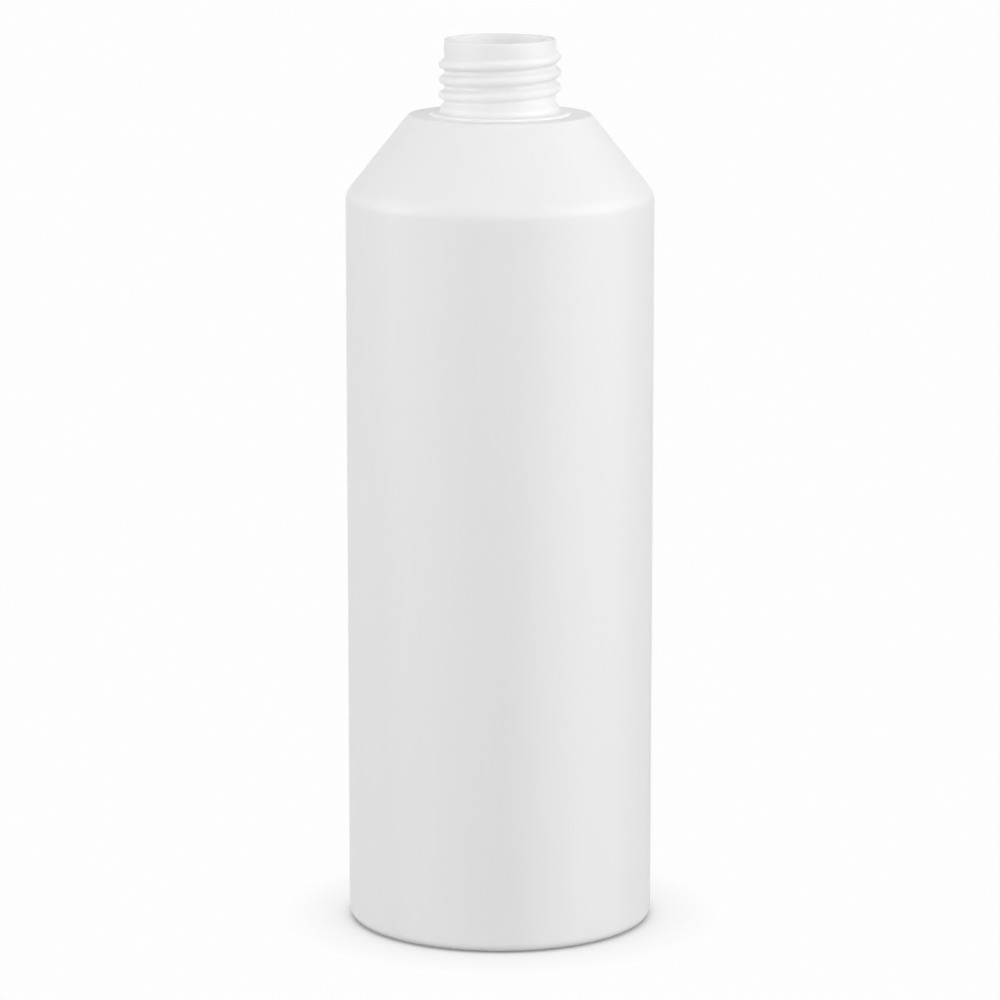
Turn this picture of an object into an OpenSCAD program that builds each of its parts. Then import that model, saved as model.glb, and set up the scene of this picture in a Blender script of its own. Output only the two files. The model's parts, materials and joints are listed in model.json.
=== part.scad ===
// A blow-moulded plastic bottle: a straight round body, a cone-shaped shoulder with a flat
// top, and a short screw neck. It is one hollow piece, open at the mouth, with no cap.
// The origin is the middle of the circle it stands on and +Z runs up its axis. Millimetres.

/* [Body] */
// Outside diameter of the straight body
body_d = 65; // [52:0.5:80]
// Height at which the straight side and the cone would meet in a sharp corner
body_h = 156.7; // [60:0.1:220]
// Radius that rounds the corner between side and cone
break_r = 5.2; // [2:0.1:8]
// Radius that rounds the foot, between side and standing ring
foot_r = 2; // [1.5:0.1:4]

/* [Shoulder] */
// Height of the cone, from the sharp corner of the body up to its flat top
cone_h = 16.5; // [12:0.1:30]
// Outside diameter of the flat top of the cone
land_d = 38.6; // [34:0.1:44]
// Small radius on the outer edge of the flat top
land_edge_r = 0.4; // [0.2:0.05:0.8]
// Diameter of the low ring that the collar stands on
ring_d = 29.6; // [27:0.1:32]
// Height of the low ring above the flat top
ring_h = 0.5; // [0.3:0.05:0.8]

/* [Neck] */
// Height of the rim above the flat top of the cone
neck_h = 15.8; // [13:0.1:26]
// Outside diameter of the plain band under the rim
neck_d = 23.4; // [22.8:0.1:23.8]
// Height of the plain band
band_h = 1.8; // [1.4:0.1:4]
// Bore of the neck
bore_d = 20; // [16:0.1:20.4]
// Radius on both edges of the rim
rim_edge_r = 0.25; // [0.1:0.05:0.4]
// Outside diameter of the collar below the thread
collar_d = 24.8; // [24.2:0.1:25.4]
// Height of the collar's side above the flat top
collar_h = 1.7; // [1.5:0.1:3]
// Height of the sloped top of the collar
collar_slope_h = 1; // [0.7:0.1:1.6]

/* [Thread] */
// Outside diameter over the thread ridge
thread_d = 25.6; // [25:0.1:26.4]
// Diameter of the neck between the ridge's turns
root_d = 23.1; // [22.5:0.1:23.2]
// Rise of the ridge in one turn, to the right
thread_pitch = 3.2; // [3:0.05:4]
// Width of the ridge where it leaves the neck
thread_w = 2.4; // [1.6:0.1:2.6]
// Height of the ridge's lower end above the collar's side
thread_start_h = 0.9; // [0.6:0.1:2]
// Direction of the ridge's lower end, turned left from +X
thread_start_angle = 10; // [0:1:359]
// Angle over which each end of the ridge sinks into the neck
thread_fade_angle = 60; // [30:5:120]

/* [Walls] */
// Wall of the body and the cone
wall = 1; // [0.7:0.05:1.5]
// Wall of the cone's flat top
land_wall = 1.3; // [0.8:0.05:2]
// Wall of the base
base_wall = 1.3; // [0.8:0.05:2.5]

/* [Base] */
// Width of the flat ring that the bottle stands on
stand_w = 3.5; // [2:0.1:6]
// Rise of the hollow under the base, at its middle
hollow_rise = 2.4; // [1.5:0.1:4]
// Width of the slope between the standing ring and the hollow
hollow_slope_w = 3; // [2.5:0.1:5]

/* [Hidden] */

// Roundness of turned surfaces, steps along an arc, and steps along the ridge
$fn = 144;
arc_step = 9;
ridge_step = 7.5;
// Points across the ridge, and how far its arch runs on below the neck's surface
ridge_points = 9;
ridge_reach = 1.25;
// Share of its height that the ridge keeps at its sunken ends
ridge_least = 0.15;
// Share of the hollow's rise that its slope makes, and the radius of its corners
slope_share = 0.7;
hollow_corner_r = 1.2;
// Radii of the small corners round the collar and the ring, and of the shoulder's inside
nook_r = 0.2;
collar_edge_r = 0.35;
throat_r = 1;
land_inside_r = 0.8;
// Depth to which the neck's thread core and the neck's wall lap into each other
lap = 0.4;

plastic_white = [0.94, 0.94, 0.93];

body_r = body_d / 2;
land_r = land_d / 2;
ring_r = ring_d / 2;
collar_r = collar_d / 2;
neck_r = neck_d / 2;
root_r = root_d / 2;
bore_r = bore_d / 2;
land_z = body_h + cone_h;
ring_z = land_z + ring_h;
collar_z = land_z + collar_h;
rim_z = land_z + neck_h;
band_z = rim_z - band_h;

// Slope of the cone away from the bottle's axis
cone_angle = atan((body_r - land_r) / cone_h);
// Radius of the cone's inside surface at a height
function cone_inside_r(z) = body_r - (z - body_h) * tan(cone_angle) - wall / cos(cone_angle);

stand_r = body_r - foot_r - stand_w;
hollow_r = stand_r - hollow_slope_w;

// The neck's own wall behind the thread core, and where the collar's slope reaches it
neck_wall_r = root_r - lap;
slope_end_z = collar_z + collar_slope_h * (collar_r - neck_wall_r) / (collar_r - root_r);

thread_h = thread_d / 2 - root_r;
ridge_sink = -thread_h * cos(90 * ridge_reach);
thread_start_z = collar_z + thread_start_h;
thread_rise = band_z - thread_w / 2 - thread_start_z;
ridge_rings = floor(360 / ridge_step * thread_rise / thread_pitch);
thread_sweep = ridge_rings * ridge_step;

// Points that round corner b, between its neighbours a and c, to radius r
function arc_at(a, b, c, r) =
    let(
        u = (a - b) / norm(a - b),
        v = (c - b) / norm(c - b),
        half = acos(u * v) / 2,
        centre = b + (u + v) / norm(u + v) * r / sin(half),
        from = b + u * r / tan(half) - centre,
        to = b + v * r / tan(half) - centre,
        sweep = 180 - 2 * half,
        n = ceil(sweep / arc_step)
    )
    [for (i = [0:n]) centre + (from * sin(sweep * (1 - i / n)) + to * sin(sweep * i / n)) / sin(sweep)];

// An outline with its corners rounded. Each point is [radius, height, corner radius]
function flat(p) = [p[0], p[1]];
function rounded(path) =
    [for (i = [0:len(path) - 1])
        each path[i][2] == 0
            ? [flat(path[i])]
            : arc_at(flat(path[i - 1]), flat(path[i]), flat(path[i + 1]), path[i][2])];

// The outside, from the middle of the base up to the rim
rim_middle_r = (neck_r + bore_r) / 2;
outside = [
    [0, hollow_rise, 0],
    [hollow_r, hollow_rise * slope_share, hollow_corner_r],
    [stand_r, 0, hollow_corner_r],
    [body_r, 0, foot_r],
    [body_r, body_h, break_r],
    [land_r, land_z, land_edge_r],
    [ring_r, land_z, 0],
    [ring_r, ring_z, nook_r],
    [collar_r, ring_z, nook_r],
    [collar_r, collar_z, collar_edge_r],
    [neck_wall_r, slope_end_z, 0],
    [neck_wall_r, band_z - (neck_r - neck_wall_r), 0],
    [neck_r, band_z, 0],
    [neck_r, rim_z, rim_edge_r],
    [rim_middle_r, rim_z, 0],
];

// The inside, from the rim down to the middle of the base
land_under_z = land_z - land_wall;
inside = [
    [rim_middle_r, rim_z, 0],
    [bore_r, rim_z, rim_edge_r],
    [bore_r, land_under_z, throat_r],
    [cone_inside_r(land_under_z), land_under_z, land_inside_r],
    [body_r - wall, body_h - wall * tan(cone_angle / 2), break_r - wall],
    [body_r - wall, base_wall, foot_r],
    [stand_r, base_wall, hollow_corner_r],
    [hollow_r, hollow_rise * slope_share + base_wall, hollow_corner_r],
    [0, hollow_rise + base_wall, 0],
];

module shell() {
    rotate_extrude() polygon(concat(rounded(outside), rounded(inside)));
}

// The neck's surface between the turns: flats that match the steps of the ridge
module thread_core() {
    corners = [for (i = [0:360 / ridge_step - 1]) thread_start_angle + i * ridge_step];
    translate([0, 0, ring_z])
        linear_extrude(height = band_z - ring_z)
            difference() {
                polygon([for (a = corners) root_r * [cos(a), sin(a)]]);
                circle(r = (bore_r + neck_wall_r) / 2);
            }
}

// Share of its full height that the ridge has, at an angle from its lower end
function swell(turned) =
    min(1, ridge_least + turned / thread_fade_angle, ridge_least + (thread_sweep - turned) / thread_fade_angle);

// One point of the ridge. across runs from -1 to 1 over its width at the neck's surface
function ridge_point(turned, across) =
    let(
        r = root_r - ridge_sink + swell(turned) * (ridge_sink + thread_h * cos(90 * across)),
        a = thread_start_angle + turned,
        z = thread_start_z + thread_pitch * turned / 360 + across * thread_w / 2
    )
    [r * cos(a), r * sin(a), z];

module ridge() {
    n = ridge_points;
    points = [
        for (i = [0:ridge_rings], j = [0:n - 1])
            ridge_point(i * ridge_step, ridge_reach * (2 * j / (n - 1) - 1))
    ];
    skin = [
        for (i = [0:ridge_rings - 1], j = [0:n - 1])
            let(a = i * n + j, b = i * n + (j + 1) % n)
            each [[a, b, b + n], [a, b + n, a + n]]
    ];
    last = ridge_rings * n;
    ends = [for (j = [1:n - 2]) each [[0, j + 1, j], [last, last + j, last + j + 1]]];
    polyhedron(points, concat(skin, ends));
}

module bottle() {
    color(plastic_white)
        union() {
            shell();
            thread_core();
            ridge();
        }
}

bottle();
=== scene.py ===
# %% [markdown]
# # A half-litre pharmacy bottle
# The real bottle is one piece of white polyethylene. A hot tube of plastic is clamped in a
# mould and blown against its walls, so the whole outside is a turned form, the wall is about
# a millimetre thick, and only the thread isn't round. This lesson loads the engineering
# model, places a camera, turns the bottle's skin from its outline with Geometry Nodes,
# finishes it with a soft satin plastic, and lights it in a plain studio.

# %% Load the engineering model as a fixed frame
import json
import math

import bpy
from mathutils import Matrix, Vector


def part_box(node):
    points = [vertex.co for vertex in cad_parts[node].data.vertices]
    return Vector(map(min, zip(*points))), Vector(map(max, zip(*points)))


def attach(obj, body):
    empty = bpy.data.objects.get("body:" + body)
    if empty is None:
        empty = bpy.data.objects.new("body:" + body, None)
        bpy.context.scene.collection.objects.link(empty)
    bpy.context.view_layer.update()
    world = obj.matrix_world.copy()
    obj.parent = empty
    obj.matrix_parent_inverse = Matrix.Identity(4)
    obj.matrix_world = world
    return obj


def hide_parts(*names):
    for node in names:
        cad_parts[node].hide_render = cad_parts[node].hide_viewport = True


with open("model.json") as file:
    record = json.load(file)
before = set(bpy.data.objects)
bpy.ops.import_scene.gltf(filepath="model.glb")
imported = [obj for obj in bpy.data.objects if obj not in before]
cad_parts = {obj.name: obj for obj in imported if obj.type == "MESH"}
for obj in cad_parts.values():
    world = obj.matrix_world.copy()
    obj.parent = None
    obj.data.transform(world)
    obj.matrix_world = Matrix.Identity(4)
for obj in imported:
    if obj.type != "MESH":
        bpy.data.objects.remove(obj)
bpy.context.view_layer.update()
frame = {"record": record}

MM = 0.001
low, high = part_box("bottle")
mounts = {mount["name"]: mount["dims"] for mount in frame["record"]["mounts"] if mount["dims"]}
body_r = (high[0] - low[0]) / 2
rim_z = high[2]
bore_r = mounts["mouth"]["r_mm"] * MM
thread_r = mounts["cap_thread"]["r_mm"] * MM
print(f"body {body_r / MM:.2f} mm in radius, rim at {rim_z / MM:.1f} mm, bore {bore_r / MM:.2f} mm")

# %% [markdown]
# ## The camera
# The photograph was taken from a little above the bottle, close enough that the foot shows
# as a deep curve while the rim is almost a line. Its sides are parallel all the same, which
# takes a shifted lens. The other views of this scene would keep such a shift, so this camera
# has none. It stands a little further off and is tilted down, which keeps the sides nearly
# parallel and still shows the foot's curve.

# %% Place the camera
scene = bpy.context.scene
camera_distance = 1000 * MM
camera_height = 286.2 * MM
camera_tilt = math.radians(11.06)

camera = bpy.data.objects.new("camera", bpy.data.cameras.new("camera"))
camera.data.sensor_width = 36.0
camera.data.lens = 172.2
camera.location = (0.0, -camera_distance, camera_height)
camera.rotation_euler = (math.pi / 2 - camera_tilt, 0.0, 0.0)
scene.collection.objects.link(camera)
scene.camera = camera

# %% [markdown]
# ## Helpers for node trees
# Geometry and shader trees do sums with the same Math node. Long chains of nodes are hard to
# read as code, so a small class wraps a socket and lets Python's own signs build the nodes.

# %% Wrap a socket so that sums can be written as formulas
def plug(tree, socket, value):
    """Links a socket or a wrapped one, or sets a plain value."""
    value = getattr(value, "socket", value)
    if isinstance(value, bpy.types.NodeSocket):
        tree.links.new(value, socket)
    else:
        socket.default_value = value


def add_node(tree, kind, inputs=None, **settings):
    """A new node with its settings, and its inputs linked or set by name."""
    made = tree.nodes.new(kind)
    for name, value in settings.items():
        setattr(made, name, value)
    for name, value in (inputs or {}).items():
        plug(tree, made.inputs[name], value)
    return made


class Field:
    """A number in a node tree that sums can be done with."""

    def __init__(self, tree, socket):
        self.tree, self.socket = tree, socket

    def math(self, operation, *others, swap=False):
        made = self.tree.nodes.new("ShaderNodeMath")
        made.operation = operation
        values = (*others, self) if swap else (self, *others)
        for place, value in enumerate(values):
            plug(self.tree, made.inputs[place], value)
        return Field(self.tree, made.outputs[0])

    def __add__(self, other):
        return self.math("ADD", other)

    def __radd__(self, other):
        return self.math("ADD", other)

    def __sub__(self, other):
        return self.math("SUBTRACT", other)

    def __rsub__(self, other):
        return self.math("SUBTRACT", other, swap=True)

    def __mul__(self, other):
        return self.math("MULTIPLY", other)

    def __rmul__(self, other):
        return self.math("MULTIPLY", other)

    def __truediv__(self, other):
        return self.math("DIVIDE", other)

    def __rtruediv__(self, other):
        return self.math("DIVIDE", other, swap=True)

    def clamp(self, least, most):
        return self.math("MAXIMUM", least).math("MINIMUM", most)


def choose(where, yes, no):
    """yes where the mask is 1, and no where it is 0."""
    return where * yes + (1 - where) * no


# %% [markdown]
# ## The outline
# Half of the bottle's section is one line: out from the middle of the base, up the side, over
# the cone, its flat top, the low ring and the collar, up the neck, across the rim and down
# the inside. Each corner has a radius of its own, and a Fillet Curve node rounds it later.

# %% Name the sizes of the outline, in millimetres as on a drawing
body_h, cone_h = 156.7, 16.5
land_r, ring_r, ring_h = 19.3, 14.8, 0.5
collar_r, collar_h, collar_slope_h = 12.4, 1.7, 1.0
neck_r, root_r, band_h = 11.7, 11.6, 1.8
wall, land_wall, base_wall = 1.0, 1.3, 1.3
foot_r, stand_w, hollow_rise, hollow_slope_w, slope_share = 2.0, 3.5, 2.4, 3.0, 0.7
seam_h = 0.05

# The skin lies the parting line's height inside the model, so that the line stays in its box
skin_r = body_r / MM - seam_h
bore = bore_r / MM
rim = rim_z / MM
land = body_h + cone_h
ring = land + ring_h
collar = land + collar_h
cone_angle = math.atan2(skin_r - land_r, cone_h)
stand_r = skin_r - foot_r - stand_w
hollow_r = stand_r - hollow_slope_w


def cone_inside_r(z):
    """Radius of the cone's inside surface at a height."""
    return skin_r - (z - body_h) * math.tan(cone_angle) - wall / math.cos(cone_angle)


# %% List the corners: radius, height, rounding, and the step between rows up to the next one
outside = [
    (0.0, hollow_rise, 0.0, 1.2),
    (hollow_r, hollow_rise * slope_share, 1.2, 0.6),
    (stand_r, 0.0, 1.2, 0.7),
    (skin_r, 0.0, foot_r, 1.0),
    (skin_r, foot_r + 4.0, 0.0, 8.0),
    (skin_r, body_h - 5.0, 0.0, 1.0),
    (skin_r, body_h, 5.2, 0.8),
    (land_r, land, 0.5, 0.8),
    (ring_r, land, 0.08, 0.2),
    (ring_r, ring, 0.4, 0.3),
    (collar_r, ring, 0.8, 0.3),
    (collar_r, collar, 0.2, 0.17),
    (root_r, collar + collar_slope_h, 0.3, 0.17),
    (root_r, rim - band_h - 2.0, 0.0, 0.17),
    (neck_r, rim - band_h, 0.0, 0.4),
    (neck_r, rim, 0.15, 0.4),
]
inside = [
    (bore, rim, 0.15, 3.0),
    (bore, land - land_wall, 1.0, 2.0),
    (cone_inside_r(land - land_wall), land - land_wall, 0.8, 3.0),
    (skin_r - wall, body_h - wall * math.tan(cone_angle / 2), 4.2, 8.0),
    (skin_r - wall, base_wall, 2.0, 1.0),
    (stand_r, base_wall, 1.2, 1.0),
    (hollow_r, hollow_rise * slope_share + base_wall, 1.2, 4.0),
    (0.0, hollow_rise + base_wall, 0.0, 4.0),
]
corners = outside + inside
print(f"{len(corners)} corners, cone at {math.degrees(cone_angle):.1f} degrees from the axis")

# %% Draw the outline as a chain of edges
line = bpy.data.meshes.new("outline")
line.from_pydata(
    [(r * MM, 0.0, z * MM) for r, z, _, _ in corners],
    [(i, i + 1) for i in range(len(corners) - 1)],
    [],
)


def store(mesh, name, kind, values):
    """Keeps one value a point on a mesh, for the node tree to read by its name."""
    mesh.attributes.new(name, kind, "POINT").data.foreach_set("value", values)


LEAST_ARC_POINTS, MOST_ARC_POINTS, ARC_POINTS_PER_MM = 3, 14, 3
arc_points = [
    min(LEAST_ARC_POINTS + round(ARC_POINTS_PER_MM * rounding), MOST_ARC_POINTS)
    for _, _, rounding, _ in corners
]
store(line, "rounding", "FLOAT", [rounding * MM for _, _, rounding, _ in corners])
store(line, "arc_points", "INT", arc_points)
store(line, "row_step", "FLOAT", [step * MM for _, _, _, step in corners])
store(line, "inside", "FLOAT", [0.0] * len(outside) + [1.0] * len(inside))

# %% [markdown]
# ## Turning the skin
# A turned form follows a rule, so a node tree makes it. A flat grid has one column for each
# step round the axis and one row for each point of the outline. Each grid point looks up its
# outline point and goes to its place round the axis. The thread is a swelling of the neck's
# radius that climbs with the angle, so it grows out of the wall with no joint to hide.

# %% Start the tree, with a named input for each size
turning = bpy.data.node_groups.new("turned bottle", "GeometryNodeTree")
face = turning.interface
face.new_socket("Geometry", in_out="INPUT", socket_type="NodeSocketGeometry")
SIZES = {
    "Steps Round": (288, "NodeSocketInt"),
    "Collar Top": (collar * MM, "NodeSocketFloat"),
    "Root Radius": (root_r * MM, "NodeSocketFloat"),
    "Thread Radius": (thread_r, "NodeSocketFloat"),
    "Thread Width": (2.4 * MM, "NodeSocketFloat"),
    "Pitch": (3.2 * MM, "NodeSocketFloat"),
    "Thread Start": ((collar + 0.9) * MM, "NodeSocketFloat"),
    "Thread Angle": (math.radians(10.0), "NodeSocketFloat"),
    "Thread Sweep": (math.radians(1147.5), "NodeSocketFloat"),
    "Thread Fade": (math.radians(60.0), "NodeSocketFloat"),
    "Blend": (0.2 * MM, "NodeSocketFloat"),
    "Seam Height": (seam_h * MM, "NodeSocketFloat"),
    "Seam Width": (0.3 * MM, "NodeSocketFloat"),
    "Pinch Height": (0.5 * MM, "NodeSocketFloat"),
    "Pinch Width": (0.7 * MM, "NodeSocketFloat"),
    "Pinch Reach": ((hollow_r - 2.0) * MM, "NodeSocketFloat"),
    "Outside": (None, "NodeSocketMaterial"),
    "Inside": (None, "NodeSocketMaterial"),
}
for name, (_, kind) in SIZES.items():
    face.new_socket(name, in_out="INPUT", socket_type=kind)
face.new_socket("Geometry", in_out="OUTPUT", socket_type="NodeSocketGeometry")
given = turning.nodes.new("NodeGroupInput").outputs


def size(name):
    """One of the tree's named sizes, ready for sums."""
    return Field(turning, given[name])


def make(kind, inputs=None, **settings):
    """A node of the turning tree."""
    return add_node(turning, kind, inputs, **settings)


# %% Round the corners and cut the straight stretches into rows
def stored(name, kind="FLOAT"):
    """A value kept on the points."""
    made = make("GeometryNodeInputNamedAttribute", {"Name": name}, data_type=kind)
    return Field(turning, made.outputs["Attribute"])


def parts(vector):
    """The three parts of a vector as numbers."""
    made = make("ShaderNodeSeparateXYZ", {"Vector": vector})
    return [Field(turning, socket) for socket in made.outputs]


curve = make("GeometryNodeMeshToCurve", {"Mesh": given["Geometry"]})
fillet = make(
    "GeometryNodeFilletCurve",
    {
        "Curve": curve.outputs[0],
        "Count": stored("arc_points", "INT"),
        "Radius": stored("rounding"),
        "Limit Radius": True,
    },
    mode="POLY",
)
here = make("GeometryNodeInputPosition").outputs[0]
following = Field(turning, make("GeometryNodeInputIndex").outputs[0]) + 1
beyond = make(
    "GeometryNodeFieldAtIndex", {"Index": following, "Value": here}, data_type="FLOAT_VECTOR",
)
apart = make("ShaderNodeVectorMath", {0: here, 1: beyond.outputs[0]}, operation="DISTANCE")
cuts = (Field(turning, apart.outputs["Value"]) / stored("row_step")).math("FLOOR")
rows = make("GeometryNodeSubdivideCurve", {"Curve": fillet.outputs[0], "Cuts": cuts})
outline = make("GeometryNodeCurveToMesh", {"Curve": rows.outputs[0]})

# %% Wrap a grid round the axis, one row for each outline point
count = make("GeometryNodeAttributeDomainSize", {"Geometry": outline.outputs[0]}, component="MESH")
row_count = Field(turning, count.outputs["Point Count"])
columns = size("Steps Round")
grid = make("GeometryNodeMeshGrid", {"Vertices X": columns + 1, "Vertices Y": row_count})
index = Field(turning, make("GeometryNodeInputIndex").outputs[0])
# A hair is added, so that a whole number isn't rounded down to the one before
HAIR = 0.0001
column = (index / row_count + HAIR).math("FLOOR")
row = index - column * row_count


def look_up(value, kind):
    """The outline's value at this grid point's row."""
    made = make(
        "GeometryNodeSampleIndex",
        {"Geometry": outline.outputs[0], "Value": value, "Index": row},
        data_type=kind, domain="POINT",
    )
    return made.outputs[0]


# The columns crowd towards the parting line, which is the finest thing on the sides
CROWDING = 0.4
even = column / columns * math.tau
angle = even - (even * 2).math("SINE") * (CROWDING / 2)
turned_radius, _, turned_height = parts(look_up(here, "FLOAT_VECTOR"))
turned_inside = Field(turning, look_up(stored("inside"), "FLOAT"))

# %% Let the thread swell out of the neck
# How full the ridge's arch is, how far it runs on below the neck, and the least it swells
FULLNESS, REACH, LEAST = 2.7, 1.25, 0.15
NECK_ROOM = 1 * MM
full_h = size("Thread Radius") - size("Root Radius")
climb = (turned_height - size("Thread Start")) / size("Pitch")
round_it = (angle - size("Thread Angle")) / math.tau
nearest = (climb - round_it).math("ROUND")
across = (climb - round_it - nearest) * size("Pitch") / (size("Thread Width") / 2)
turned = (round_it + nearest) * math.tau
rising = turned / size("Thread Fade") + LEAST
falling = (size("Thread Sweep") - turned) / size("Thread Fade") + LEAST
swell = rising.math("MINIMUM", falling).clamp(0.0, 1.0)
arch = 1 - across.math("ABSOLUTE").clamp(0.0, REACH).math("POWER", FULLNESS)
sink = full_h * (REACH ** FULLNESS - 1)
ridge_radius = size("Root Radius") - sink + swell * (full_h * arch + sink)
threaded = turned_radius.math("SMOOTH_MAX", ridge_radius, size("Blend"))

above_collar = turned_height.math("GREATER_THAN", size("Collar Top") - NECK_ROOM)
in_neck = (1 - turned_inside) * above_collar
final_radius = choose(in_neck, threaded, turned_radius)

# %% Put each grid point in its place and close the seam
WELD = 0.002 * MM
place = make(
    "ShaderNodeCombineXYZ",
    {
        "X": angle.math("COSINE") * final_radius,
        "Y": angle.math("SINE") * final_radius,
        "Z": turned_height,
    },
)
wrapped = make(
    "GeometryNodeSetPosition", {"Geometry": grid.outputs["Mesh"], "Position": place.outputs[0]},
)
marked = make(
    "GeometryNodeStoreNamedAttribute",
    {"Geometry": wrapped.outputs[0], "Name": "inside", "Value": turned_inside},
    data_type="FLOAT", domain="POINT",
)
closed = make(
    "GeometryNodeMergeByDistance", {"Geometry": marked.outputs[0], "Distance": WELD},
)

# %% [markdown]
# ## The mould's marks
# The two halves of the mould meet in a plane through the axis, and the plastic creeps a few
# hundredths of a millimetre into that gap. It leaves a fine line up both sides. Under the
# base the same halves bite the tube shut, and that leaves a thicker bar across the hollow.
# Both are a small push of the surface that fades with distance from that plane.

# %% Find where the parting line and the pinched bar run
across_x, from_plane, mark_height = parts(here)
out_from_axis = (across_x * across_x + from_plane * from_plane).math("SQRT")


def bulge(width, power):
    """1 on the mould's parting plane, and nearly 0 a width away from it."""
    return (from_plane / width).math("POWER", power).math("MULTIPLY", -1.0).math("EXPONENT")


# How far the line stops below the rim, how long the bar's ends taper, and room over the hollow
RIM_CLEAR, BAR_TAPER, BASE_ROOM = 0.6, 2.0, 0.2
above_foot = mark_height.math("GREATER_THAN", foot_r * MM)
below_rim = mark_height.math("LESS_THAN", (rim - RIM_CLEAR) * MM)
on_the_side = above_foot * below_rim
in_the_hollow = (
    mark_height.math("LESS_THAN", (hollow_rise + BASE_ROOM) * MM)
    * out_from_axis.math("LESS_THAN", size("Pinch Reach"))
)
bar_end = ((size("Pinch Reach") - out_from_axis) / (BAR_TAPER * MM)).clamp(0.0, 1.0)

# %% Raise them out of the outer skin
ROUND_TOP, FLAT_TOP = 2.0, 4.0
outer = 1 - stored("inside")
outward = bulge(size("Seam Width"), ROUND_TOP) * size("Seam Height") * on_the_side * outer
bar = bulge(size("Pinch Width"), FLAT_TOP) * size("Pinch Height") * bar_end
downward = bar * in_the_hollow * outer
offset = make("ShaderNodeCombineXYZ", {"X": outward * across_x.math("SIGN"), "Z": downward * -1.0})
raised = make(
    "GeometryNodeSetPosition", {"Geometry": closed.outputs[0], "Offset": offset.outputs[0]},
)

# %% Hand out the materials
smooth = make("GeometryNodeSetShadeSmooth", {"Geometry": raised.outputs[0]})
real = make("GeometryNodeRealizeInstances", {"Geometry": smooth.outputs[0]})
coated = make("GeometryNodeSetMaterial", {"Geometry": real.outputs[0], "Material": given["Outside"]})
within = stored("inside").math("GREATER_THAN", 0.5)
lined = make(
    "GeometryNodeSetMaterial",
    {"Geometry": coated.outputs[0], "Selection": within, "Material": given["Inside"]},
)
make("NodeGroupOutput", {"Geometry": lined.outputs[0]})
print(f"turning tree: {len(turning.nodes)} nodes")

# %% [markdown]
# ## The plastic
# Polyethylene is a soft, waxy plastic. Against a sand-blasted mould it comes out satin, with
# a fine grain, and the stretched tube leaves faint upright streaks. Light enters it a
# little way before it comes back, so its shadows are soft. The inside only touched air, so it
# is smoother. It lets light in deeper, and what comes through the thin neck brightens the mouth.
# Its colour is also set lighter than the outside's, as painted light that brightens the mouth more.

# %% Make the grain of the mould and the streaks of the tube
grain = bpy.data.node_groups.new("moulded grain", "ShaderNodeTree")
grain.interface.new_socket("Grain Size", in_out="INPUT", socket_type="NodeSocketFloat")
grain.interface.new_socket("Streaks", in_out="INPUT", socket_type="NodeSocketFloat")
grain.interface.new_socket("Height", in_out="OUTPUT", socket_type="NodeSocketFloat")
grain.interface.new_socket("Tone", in_out="OUTPUT", socket_type="NodeSocketFloat")
grain_in = grain.nodes.new("NodeGroupInput").outputs
spot = add_node(grain, "ShaderNodeTexCoord").outputs["Object"]
STREAKS_PER_METRE, UPRIGHT_STRETCH = 150.0, 25
drawn = add_node(
    grain, "ShaderNodeMapping", {"Vector": spot, "Scale": (1.0, 1.0, 1 / UPRIGHT_STRETCH)},
)
streaks = add_node(
    grain, "ShaderNodeTexNoise",
    {"Vector": drawn.outputs[0], "Scale": STREAKS_PER_METRE, "Detail": 1.0},
)
grains_per_metre = 1.0 / Field(grain, grain_in["Grain Size"])
fine = add_node(
    grain, "ShaderNodeTexNoise", {"Vector": spot, "Scale": grains_per_metre, "Detail": 0.0},
)
tone = (Field(grain, streaks.outputs["Fac"]) - 0.5) * grain_in["Streaks"] + 0.5
add_node(grain, "NodeGroupOutput", {"Height": fine.outputs["Fac"], "Tone": tone})


# %% Mix a plastic from its colour, roughness and grain
DARKER, LIGHTER = 0.985, 1.01
ROUGHNESS_SWING = 0.1
GRAIN_DEPTH = 0.02 * MM


def plastic(name, colour, rough, depth, grain_size, streak_share, bump):
    """A white polyethylene with a grain of its own."""
    made = bpy.data.materials.new(name)
    made.use_nodes = True
    tree = made.node_tree
    shader = tree.nodes["Principled BSDF"]
    marks = add_node(tree, "ShaderNodeGroup", node_tree=grain)
    marks.inputs["Grain Size"].default_value = grain_size
    marks.inputs["Streaks"].default_value = streak_share
    tone = Field(tree, marks.outputs["Tone"])
    dark = (*[c * DARKER for c in colour], 1.0)
    light = (*[min(c * LIGHTER, 1.0) for c in colour], 1.0)
    shade = add_node(
        tree, "ShaderNodeMix", {"Factor": (tone - 0.5) * 2 + 0.5, "A": dark, "B": light},
        data_type="RGBA",
    )
    plug(tree, shader.inputs["Base Color"], shade.outputs["Result"])
    plug(tree, shader.inputs["Roughness"], tone * ROUGHNESS_SWING + (rough - ROUGHNESS_SWING / 2))
    relief = add_node(
        tree, "ShaderNodeBump",
        {"Height": marks.outputs["Height"], "Strength": bump, "Distance": GRAIN_DEPTH},
    )
    plug(tree, shader.inputs["Normal"], relief.outputs[0])
    shader.inputs["IOR"].default_value = 1.5
    shader.inputs["Specular IOR Level"].default_value = 0.4
    shader.inputs["Subsurface Weight"].default_value = 1.0
    shader.inputs["Subsurface Radius"].default_value = (1.0, 1.0, 1.0)
    shader.inputs["Subsurface Scale"].default_value = depth
    return made


satin = plastic("satin_outside", (0.88, 0.88, 0.88), 0.5, 0.8 * MM, 0.35 * MM, 0.6, 0.25)
# The inside is the same plastic as the outside, with its colour set lighter: painted light that
# brightens the mouth
blown = plastic("inside_lightened", (0.98, 0.98, 0.98), 0.4, 8.0 * MM, 0.8 * MM, 0.3, 0.1)

# %% [markdown]
# ## Making the bottle
# The tree runs as a modifier on the outline. Its result is kept as a plain mesh, which is
# what a viewer or a slicer needs, and the modifier goes.

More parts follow.
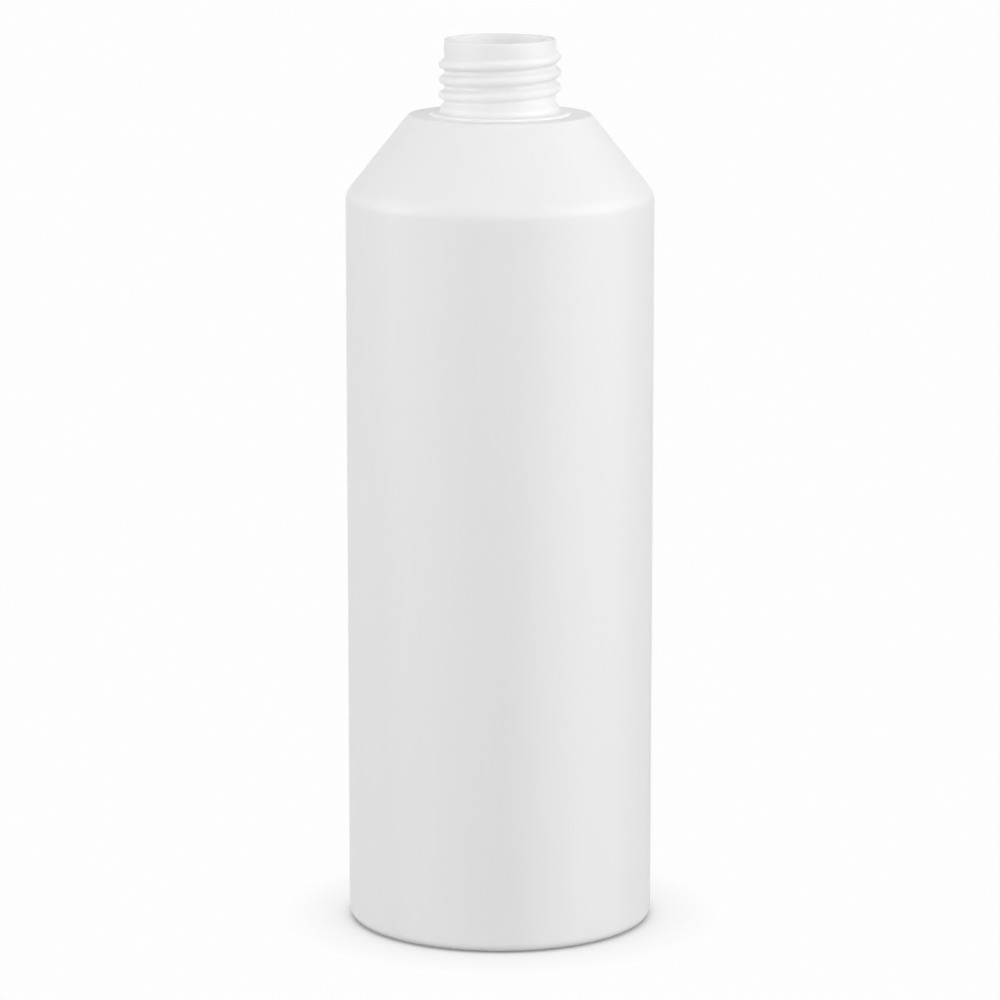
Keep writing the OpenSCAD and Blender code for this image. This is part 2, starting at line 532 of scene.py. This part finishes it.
# %% Run the tree and keep the result as a plain mesh
maker = bpy.data.objects.new("bottle_maker", line)
scene.collection.objects.link(maker)
modifier = maker.modifiers.new("turning", "NODES")
modifier.node_group = turning
settings = {name: value for name, (value, _) in SIZES.items()}
settings |= {"Outside": satin, "Inside": blown}
for socket in face.items_tree:
    if socket.in_out == "INPUT" and socket.name in settings:
        modifier[socket.identifier] = settings[socket.name]
seen = maker.evaluated_get(bpy.context.evaluated_depsgraph_get())
mesh = bpy.data.meshes.new_from_object(seen)
bottle = bpy.data.objects.new("moulded_bottle", mesh)
scene.collection.objects.link(bottle)
bpy.data.objects.remove(maker)
while mesh.materials[0] is None:
    mesh.materials.pop(index=0)
mesh.calc_loop_triangles()
print(f"bottle: {len(mesh.vertices)} points, {len(mesh.loop_triangles)} triangles")
print("finishes:", [finish.name for finish in mesh.materials])

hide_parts("bottle")
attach(bottle, "root")

# %% [markdown]
# ## The floor
# The bottle stands on white paper that runs on out of sight. The camera and reflections see
# the paper as plain white, without any more light on the bottle. That would also wipe out its
# shadow, so near the foot the matt paper shows again, most of all along the line of contact.
# There the floor shows its real shadow under the lamps, and also a painted shade that grows towards
# the foot.

# %% Lay the floor a hair below the foot
FLOOR_REACH = 6.0
FLOOR_DROP = 0.02 * MM
around = [(-FLOOR_REACH, -FLOOR_REACH), (FLOOR_REACH, -FLOOR_REACH)]
around += [(FLOOR_REACH, FLOOR_REACH), (-FLOOR_REACH, FLOOR_REACH)]
floor_mesh = bpy.data.meshes.new("floor")
floor_mesh.from_pydata([(x, y, 0.0) for x, y in around], [], [(0, 1, 2, 3)])
floor = bpy.data.objects.new("floor", floor_mesh)
floor.location.z = -FLOOR_DROP
scene.collection.objects.link(floor)

# %% Make the paper white to the camera, and matt with a painted shade near the foot
PAPER_WHITE = 0.985
MATT_GREY = (0.5, 0.5, 0.5, 1.0)
paper = bpy.data.materials.new("white_paper")
paper.use_nodes = True
tree = paper.node_tree
tree.nodes.remove(tree.nodes["Principled BSDF"])
matt = add_node(tree, "ShaderNodeBsdfDiffuse", {"Color": MATT_GREY})
glow = add_node(tree, "ShaderNodeEmission", {"Strength": PAPER_WHITE})
floor_spot = add_node(tree, "ShaderNodeTexCoord").outputs["Object"]
out_from_middle = add_node(tree, "ShaderNodeVectorMath", {0: floor_spot}, operation="LENGTH")

# The shade's strength along the contact and further out, in shares of the matt paper. Its
# reach and its start under the foot's rounding are in millimetres
CLOSE_SHADE, WIDE_SHADE, SHADE_REACH, FOOT_OVERHANG = 0.7, 0.15, 16.0, 1
edge = body_r / MM - FOOT_OVERHANG
gap = (Field(tree, out_from_middle.outputs["Value"]) / MM - edge).math("MAXIMUM", 0.0)
# Painted shade: the matt share rises towards the foot by distance alone, on top of the lamps' real
# shadow
close_shade = CLOSE_SHADE / (gap * gap + 1.0)
wide_shade = WIDE_SHADE * (1 - gap / SHADE_REACH)
shaded = (close_shade + wide_shade) * gap.math("LESS_THAN", SHADE_REACH)
ray = add_node(tree, "ShaderNodeLightPath")
showing = Field(tree, ray.outputs["Is Camera Ray"]).math("MAXIMUM", ray.outputs["Is Glossy Ray"])
blend = add_node(
    tree, "ShaderNodeMixShader",
    {"Fac": showing * (1.0 - shaded), 1: matt.outputs[0], 2: glow.outputs[0]},
)
plug(tree, tree.nodes["Material Output"].inputs["Surface"], blend.outputs[0])
floor_mesh.materials.append(paper)

# %% [markdown]
# ## The lamps
# A white bottle shows its form only by small steps of grey. A lamp on each side draws the
# round of the body, one in front and one right of it fill the middle, and one above on the
# right and one overhead light the cone and the flat top. The lamp behind lights the back and,
# through the wall of the neck, the mouth. It is kept out of reflections, where it would
# draw a hard bright edge.

# %% Hang the lamps
LAMP_DISTANCE = 1.5


def softbox(name, azimuth, elevation, width, height, power):
    """A flat soft light that faces the bottle's middle. Azimuth runs right from the camera."""
    data = bpy.data.lights.new(name, "AREA")
    data.shape, data.size, data.size_y, data.energy = "RECTANGLE", width, height, power
    lamp = bpy.data.objects.new(name, data)
    turn, rise = math.radians(azimuth), math.radians(elevation)
    lamp.location = (
        LAMP_DISTANCE * math.sin(turn) * math.cos(rise),
        -LAMP_DISTANCE * math.cos(turn) * math.cos(rise),
        rim_z / 2 + LAMP_DISTANCE * math.sin(rise),
    )
    lamp.rotation_euler = (math.pi / 2 - rise, 0.0, turn)
    lamp.visible_camera = False
    scene.collection.objects.link(lamp)
    return lamp


softbox("left_light", -83, 12, 0.4, 0.5, 9.4)
softbox("front_light", 0, 12, 0.9, 0.5, 6.2)
softbox("right_front_light", 42, 12, 0.4, 0.5, 3.7)
softbox("right_light", 83, 18, 0.4, 0.85, 7.1)
softbox("upper_right_light", 45, 45, 0.7, 0.7, 1.5)
softbox("top_light", 0, 85, 0.8, 0.8, 3.7)
back_light = softbox("back_light", 180, 10, 1.0, 0.8, 10.5)
back_light.visible_glossy = False
print(f"lamps: {len(bpy.data.lights)}")

# %% Paint the room white, with only a little light of its own
ROOM_LIGHT = 0.25
world = bpy.data.worlds.new("white_room")
world.use_nodes = True
tree = world.node_tree
ray = add_node(tree, "ShaderNodeLightPath")
showing = Field(tree, ray.outputs["Is Camera Ray"]).math("MAXIMUM", ray.outputs["Is Glossy Ray"])
showing = showing.math("MAXIMUM", ray.outputs["Is Transmission Ray"])
background = tree.nodes["Background"]
background.inputs["Color"].default_value = (1.0, 1.0, 1.0, 1.0)
plug(tree, background.inputs["Strength"], choose(showing, PAPER_WHITE, ROOM_LIGHT))
scene.world = world
scene.view_settings.view_transform = "Standard"
